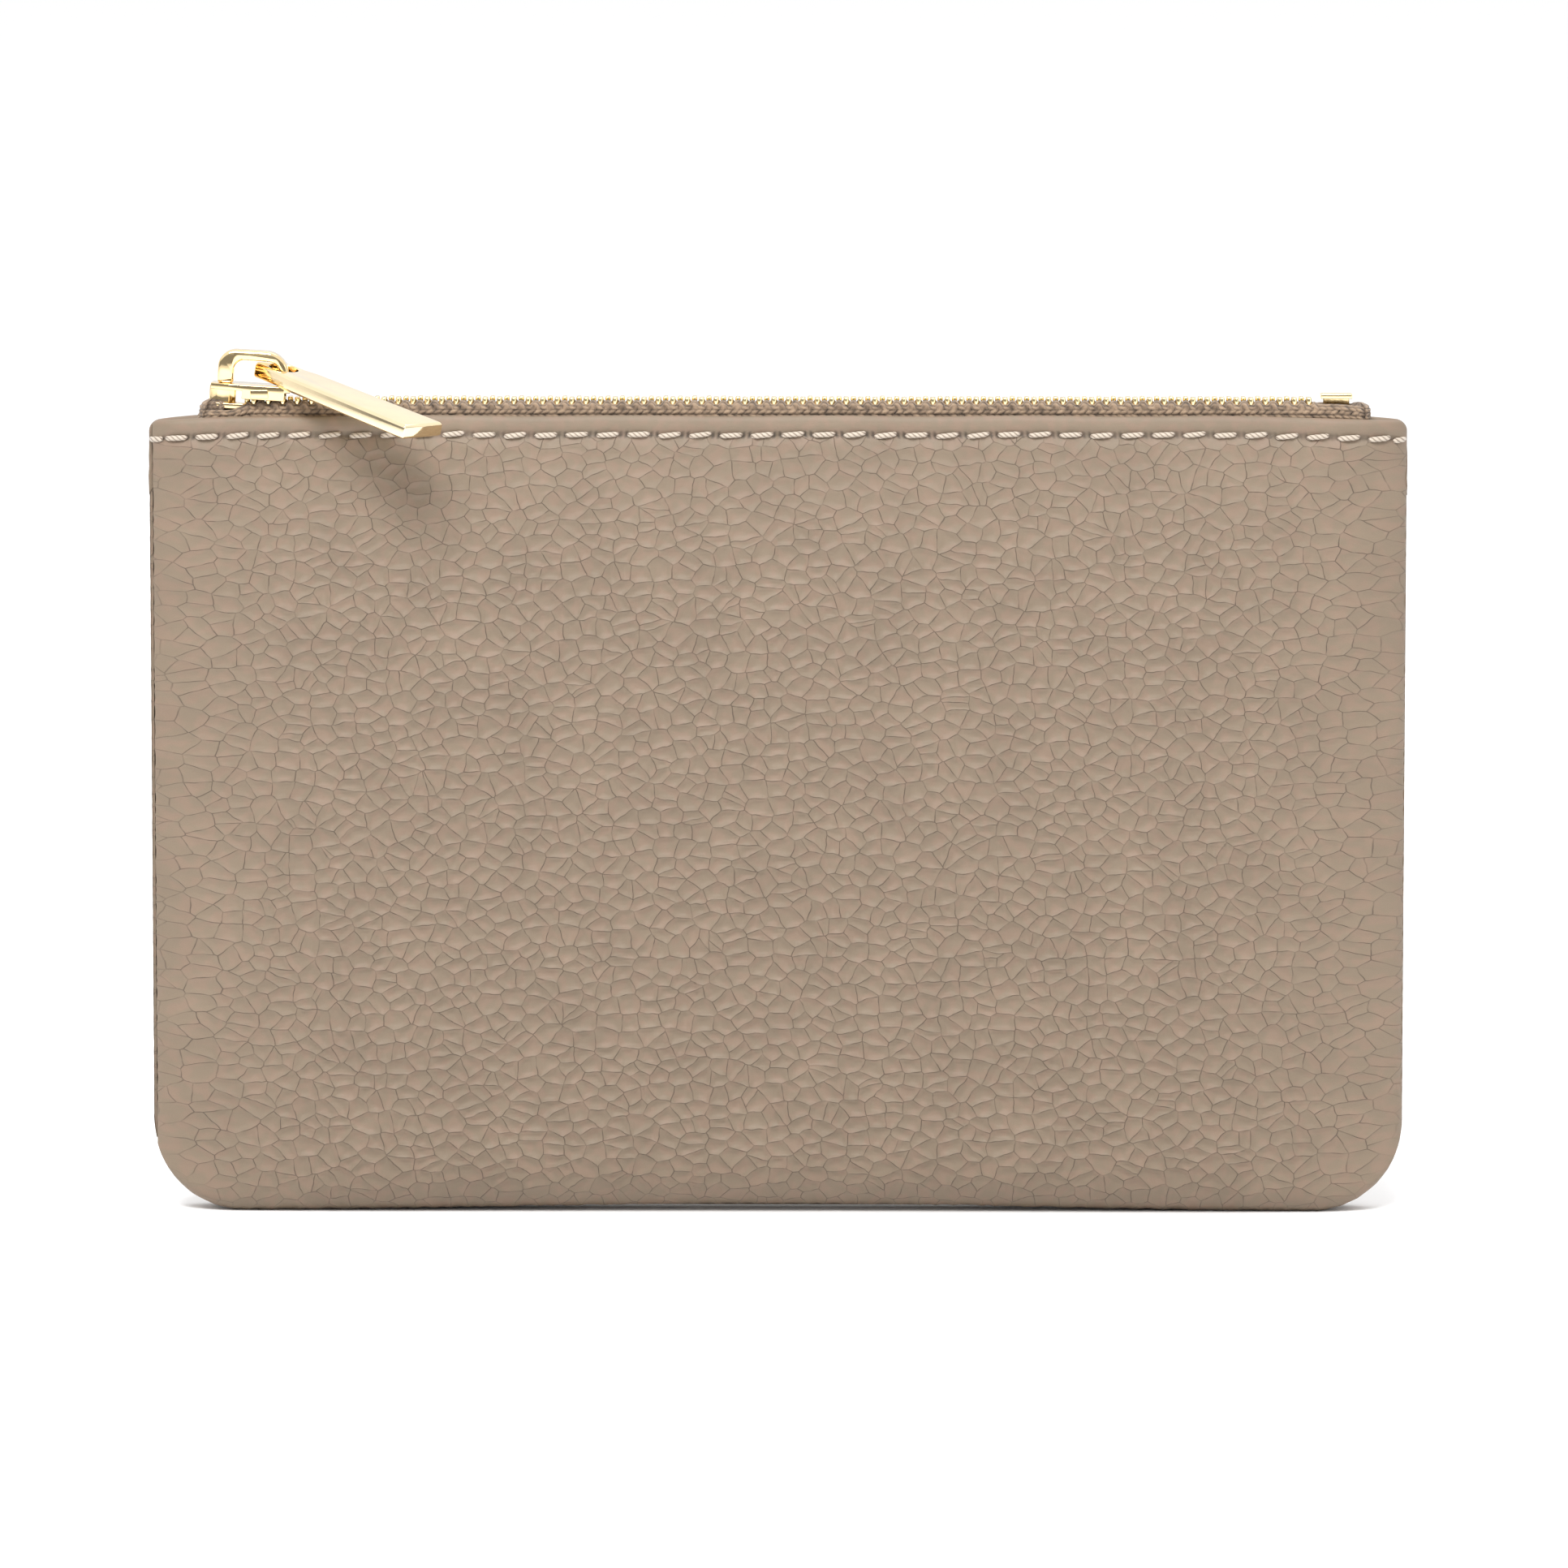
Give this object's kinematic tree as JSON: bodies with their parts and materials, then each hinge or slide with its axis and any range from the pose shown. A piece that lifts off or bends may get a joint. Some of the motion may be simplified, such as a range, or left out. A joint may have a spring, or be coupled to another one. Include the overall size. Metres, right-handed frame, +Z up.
{
  "type": "zippered pouch",
  "caption": "Flat leather pouch with a fabric lining, open along the top, closed by a metal zip with a slider and a bar pull.",
  "frame": {"origin": "middle of the flat strip that the pouch stands on, in the mid plane between the two panels", "axes": "+X along the mouth, from the closed zip's slider to its stop; +Y from the front panel to the back one; +Z up"},
  "size_m": [0.19, 0.031, 0.131],
  "materials": {
    "leather": "pebbled, matt, taupe",
    "lining": "plain twill",
    "tape": "herringbone tape",
    "zip_metal": "polished, pale gold",
    "slider_metal": "polished, pale gold",
    "thread": "thick twisted thread, cream",
    "seam_thread": "thin thread, taupe"
  },
  "bodies": {
    "root": {"back_panel": "leather", "back_lining": "lining", "back_zip_tape": "tape", "back_tape_cord": "tape", "back_teeth": "zip_metal", "back_topstitch": "thread", "bottom_stop": "zip_metal", "seam_thread": "seam_thread"},
    "front_half": {"front_panel": "leather", "front_lining": "lining", "front_zip_tape": "tape", "front_tape_cord": "tape", "front_teeth": "zip_metal", "front_topstitch": "thread"},
    "slider": {"slider_body": "slider_metal", "slider_bail": "slider_metal"},
    "pull": {"zip_pull": "slider_metal"}
  },
  "joints": [
    {"name": "zip_slide", "type": "slide", "parent": "root", "child": "slider", "axis": [1, 0, 0], "range_m": [0, 0.154], "deforming": ["front_zip_tape", "back_zip_tape", "front_tape_cord", "back_tape_cord", "front_teeth", "back_teeth"]},
    {"name": "front_open", "type": "hinge", "parent": "root", "child": "front_half", "pos_m": [0, -0.006, 0], "axis": [1, 0, 0], "range_deg": [0, 12]},
    {"name": "pull_swing", "type": "hinge", "parent": "slider", "child": "pull", "pos_m": [-0.07475, 0, 0.12709], "axis": [0.1375, -0.1196, 0.9833], "range_deg": [-70, 4]}
  ],
  "couplings": [
    {"joint": "front_open", "follows": "zip_slide", "rad_per_m": 1.36}
  ]
}
